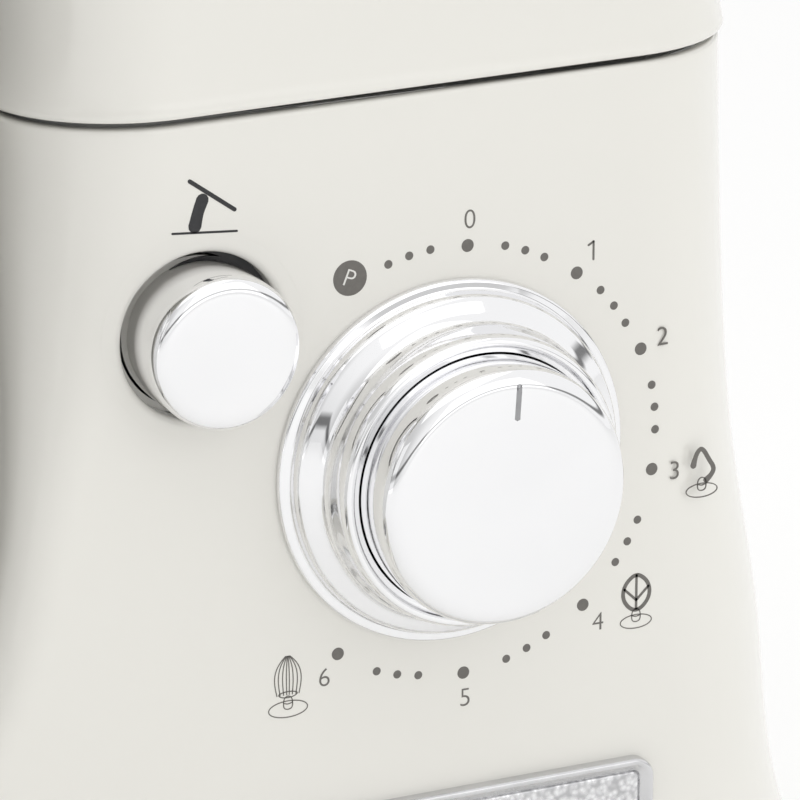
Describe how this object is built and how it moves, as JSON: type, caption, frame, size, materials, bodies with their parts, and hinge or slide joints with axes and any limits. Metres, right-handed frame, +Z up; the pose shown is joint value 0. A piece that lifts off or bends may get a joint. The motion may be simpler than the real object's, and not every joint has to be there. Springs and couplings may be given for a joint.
{
  "type": "stand mixer",
  "caption": "Cream tilt-head stand mixer with a round speed dial and a push button on the column's side, steel bowl on a twist seat, planetary flat beater and rear-hinged head.",
  "frame": {"origin": "middle of the footprint on the worktop, under the feet", "axes": "+Z up; -Y towards the bowl end (front); +X towards the side with the speed dial"},
  "size_m": [0.23, 0.412, 0.35],
  "materials": {
    "cream_enamel": "gloss cream enamel",
    "chrome_trim": "bright chrome plate",
    "polished_steel": "polished stainless steel",
    "cast_alloy": "satin cast alloy",
    "badge_silver": "finely hammered silver",
    "zinc_steel": "zinc plated steel",
    "foot_rubber": "matt black rubber",
    "black_plastic": "black moulded plastic",
    "grey_plastic": "grey moulded plastic",
    "gear_nylon": "natural nylon",
    "board_green": "circuit board laminate",
    "stator_iron": "laminated iron with copper windings",
    "belt_rubber": "toothed rubber belt",
    "gear_steel": "hardened steel"
  },
  "bodies": {
    "stand": {"stand_shell": "cream_enamel", "base_plate": "grey_plastic", "base_plate_screws": "zinc_steel", "column_deck": "grey_plastic", "bowl_seat": "polished_steel", "speed_bezel": "chrome_trim", "speed_pot": "grey_plastic", "control_pcb": "board_green", "pcb_screws": "zinc_steel", "tilt_button_spring": "gear_steel", "button_guide": "black_plastic", "latch_bracket": "zinc_steel", "latch_pivot_pin": "gear_steel", "badge_plate": "badge_silver", "cord_inlet": "black_plastic", "hinge_stand_leaf": "polished_steel", "hinge_pin": "gear_steel", "hinge_stand_screws": "zinc_steel", "foot_front": "foot_rubber", "foot_front_left": "foot_rubber", "foot_front_right": "foot_rubber", "foot_rear_left": "foot_rubber", "foot_rear_right": "foot_rubber"},
    "speed_dial": {"speed_knob": "chrome_trim", "knob_pointer": "chrome_trim", "pot_shaft": "gear_steel"},
    "tilt_button": {"tilt_button": "chrome_trim"},
    "latch": {"latch_lever": "zinc_steel"},
    "head": {"head_lower_casing": "cream_enamel", "head_top_cover": "cream_enamel", "side_trim_band": "chrome_trim", "nose_cap": "chrome_trim", "rear_vent_grille": "black_plastic", "planetary_trim_ring": "chrome_trim", "head_cover_screws": "zinc_steel", "gearbox_frame": "cast_alloy", "gearbox_screws": "zinc_steel", "ring_gear": "gear_nylon", "motor_lower_bell": "cast_alloy", "motor_upper_bell": "cast_alloy", "motor_stator": "stator_iron", "drive_belt": "belt_rubber", "carrier_bearings": "gear_steel", "layshaft_bearings": "gear_steel", "latch_striker": "zinc_steel", "hinge_head_leaf": "polished_steel", "hinge_head_screws": "zinc_steel"},
    "carrier": {"planet_carrier": "cast_alloy", "carrier_gear": "gear_nylon"},
    "layshaft": {"pinion_layshaft": "gear_steel", "large_pulley": "black_plastic"},
    "armature": {"motor_armature": "gear_steel", "motor_fan": "black_plastic", "motor_pulley": "gear_steel"},
    "tool": {"planet_gear": "gear_steel", "tool_shaft": "polished_steel", "tool_drip_disc": "polished_steel", "flat_beater": "polished_steel"},
    "bowl": {"bowl": "polished_steel", "bowl_foot_ring": "polished_steel"}
  },
  "joints": [
    {"name": "head_tilt", "type": "hinge", "parent": "stand", "child": "head", "pos_m": [0, 0.171, 0.2026], "axis": [-1, 0, 0], "range_deg": [0, 38]},
    {"name": "speed_dial_turn", "type": "hinge", "parent": "stand", "child": "speed_dial", "pos_m": [0.062, 0.106, 0.13], "axis": [-1, 0, 0], "range_deg": [-33, 209]},
    {"name": "tilt_button_press", "type": "slide", "parent": "stand", "child": "tilt_button", "axis": [-1, 0, 0], "range_m": [0, 0.005], "stiffness_N_per_m": 600, "springref_m": -0.002, "deforming": ["tilt_button_spring"]},
    {"name": "latch_swing", "type": "hinge", "parent": "stand", "child": "latch", "pos_m": [0.038, 0.0546, 0.176], "axis": [0, 1, 0], "range_deg": [0, 25]},
    {"name": "carrier_spin", "type": "hinge", "parent": "head", "child": "carrier", "pos_m": [0, -0.091, 0.22], "axis": [0, 0, -1], "continuous": true},
    {"name": "layshaft_spin", "type": "hinge", "parent": "head", "child": "layshaft", "pos_m": [0, -0.031, 0.29], "axis": [0, 0, -1], "continuous": true},
    {"name": "motor_spin", "type": "hinge", "parent": "head", "child": "armature", "pos_m": [0, 0.098, 0.26], "axis": [0, 0, -1], "continuous": true},
    {"name": "tool_spin", "type": "hinge", "parent": "carrier", "child": "tool", "pos_m": [0, -0.122, 0.22], "axis": [0, 0, -1], "continuous": true},
    {"name": "bowl_twist", "type": "hinge", "parent": "stand", "child": "bowl", "pos_m": [0, -0.091, 0.05], "axis": [0, 0, 1], "range_deg": [0, 25]}
  ],
  "couplings": [
    {"joint": "latch_swing", "follows": "tilt_button_press", "rad_per_m": 85.5},
    {"joint": "layshaft_spin", "follows": "carrier_spin", "ratio": -3.6154},
    {"joint": "motor_spin", "follows": "carrier_spin", "ratio": -16.068},
    {"joint": "tool_spin", "follows": "carrier_spin", "ratio": -3.3846}
  ]
}
